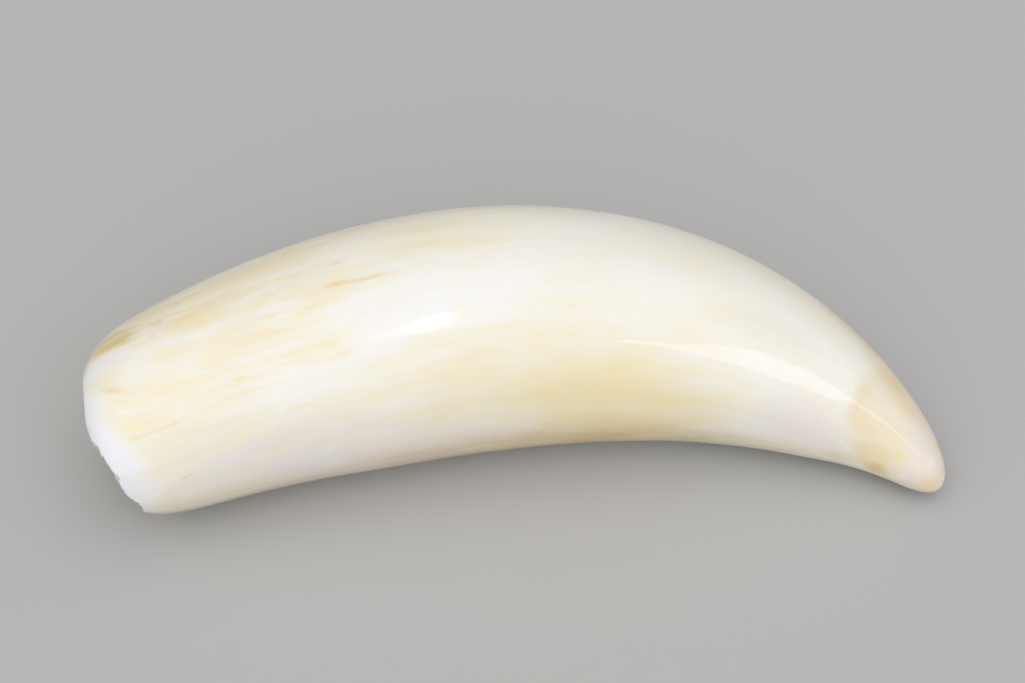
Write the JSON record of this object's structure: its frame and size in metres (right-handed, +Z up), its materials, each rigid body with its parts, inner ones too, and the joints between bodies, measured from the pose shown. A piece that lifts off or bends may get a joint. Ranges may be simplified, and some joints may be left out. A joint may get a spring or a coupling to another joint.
{
  "type": "sperm whale tooth",
  "caption": "Curved, tapering tooth of polished cream ivory that lies on its side, with a blunt tip and an open hollow with a chipped rim at the root.",
  "frame": {"origin": "under the middle of the tooth's box, on the surface that it lies on", "axes": "+X along the tooth's length from the root to the tip, +Y towards the outside of its bend, +Z up from the surface that it lies on"},
  "size_m": [0.1858, 0.0698, 0.0466],
  "materials": {
    "ivory": "polished"
  },
  "bodies": {
    "root": {"tooth": "ivory"}
  },
  "joints": []
}
